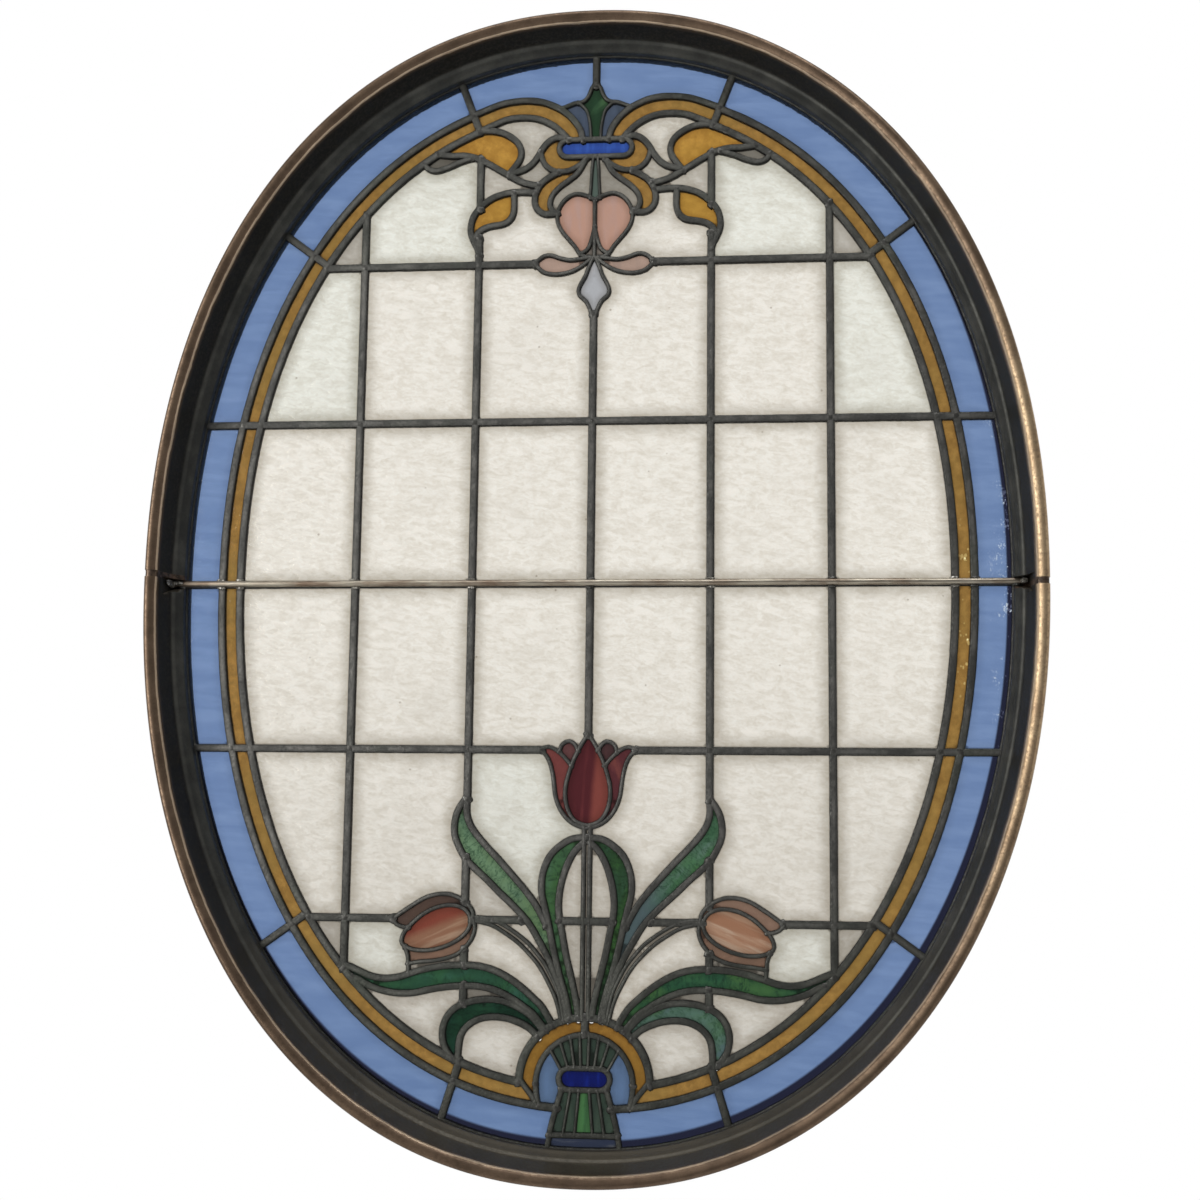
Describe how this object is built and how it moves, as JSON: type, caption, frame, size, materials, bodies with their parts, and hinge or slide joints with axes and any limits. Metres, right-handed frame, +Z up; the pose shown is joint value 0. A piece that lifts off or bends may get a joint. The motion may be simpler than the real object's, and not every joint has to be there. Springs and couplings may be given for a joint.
{
  "type": "stained glass window",
  "caption": "Oval leaded stained glass window with a moulded metal frame, square clear quarries, a blue border, an amber strip, and scroll, heart and tulip ornament.",
  "frame": {"origin": "middle of the frame's flat back face, under the bottom of the oval, where the window is built in", "axes": "+Z up the window, -Y out of its front, +X to the right as seen from the front"},
  "size_m": [0.696, 0.051, 0.9101],
  "materials": {
    "bronze_frame": "dark brown patina, rubbed bright on the rim",
    "lead_came": "oxidised lead with solder at the joints",
    "steel_bar": "rubbed steel with brown stains",
    "clear_glass": "clear, lightly rippled",
    "blue_glass": "pale blue",
    "amber_glass": "amber",
    "rose_glass": "streaky rose brown",
    "green_glass": "streaky green",
    "wine_glass": "streaky wine red"
  },
  "bodies": {
    "root": {"frame_upper": "bronze_frame", "frame_lower": "bronze_frame", "saddle_bar": "steel_bar", "lead_lattice": "lead_came", "blue_border_right_1": "blue_glass", "blue_border_right_2": "blue_glass", "blue_border_right_3": "blue_glass", "blue_border_right_4": "blue_glass", "blue_border_right_5": "blue_glass", "blue_border_right_6": "blue_glass", "blue_border_right_7": "blue_glass", "blue_border_right_8": "blue_glass", "blue_border_left_1": "blue_glass", "blue_border_left_2": "blue_glass", "blue_border_left_3": "blue_glass", "blue_border_left_4": "blue_glass", "blue_border_left_5": "blue_glass", "blue_border_left_6": "blue_glass", "blue_border_left_7": "blue_glass", "blue_border_left_8": "blue_glass", "clear_pane_row1_1": "clear_glass", "clear_pane_row1_2": "clear_glass", "clear_pane_row1_3": "clear_glass", "clear_pane_row1_4": "clear_glass", "clear_pane_row1_5": "clear_glass", "clear_pane_row1_6": "clear_glass", "clear_pane_row2_1": "clear_glass", "clear_pane_row2_2": "clear_glass", "clear_pane_row2_3": "clear_glass", "clear_pane_row2_4": "clear_glass", "clear_pane_row2_5": "clear_glass", "clear_pane_row2_6": "clear_glass", "clear_pane_row3_1": "clear_glass", "clear_pane_row3_2": "clear_glass", "clear_pane_row3_3": "clear_glass", "clear_pane_row3_4": "clear_glass", "clear_pane_row3_5": "clear_glass", "clear_pane_row3_6": "clear_glass", "clear_pane_row4_1": "clear_glass", "clear_pane_row4_2": "clear_glass", "clear_pane_row4_3": "clear_glass", "clear_pane_row4_4": "clear_glass", "clear_pane_row4_5": "clear_glass", "clear_pane_row4_6": "clear_glass", "clear_pane_shoulder_right": "clear_glass", "clear_pane_shoulder_left": "clear_glass", "clear_pane_heart_right": "clear_glass", "clear_pane_heart_left": "clear_glass", "clear_pane_hip_right": "clear_glass", "clear_pane_hip_left": "clear_glass", "clear_pane_stem_right": "clear_glass", "clear_pane_stem_left": "clear_glass", "clear_pane_foot_right": "clear_glass", "clear_pane_foot_left": "clear_glass", "clear_pane_curl_right": "clear_glass", "clear_pane_curl_left": "clear_glass", "amber_leaf_right": "amber_glass", "amber_leaf_left": "amber_glass", "side_tulip_petal_right": "rose_glass", "side_tulip_petal_left": "rose_glass"}
  },
  "joints": []
}
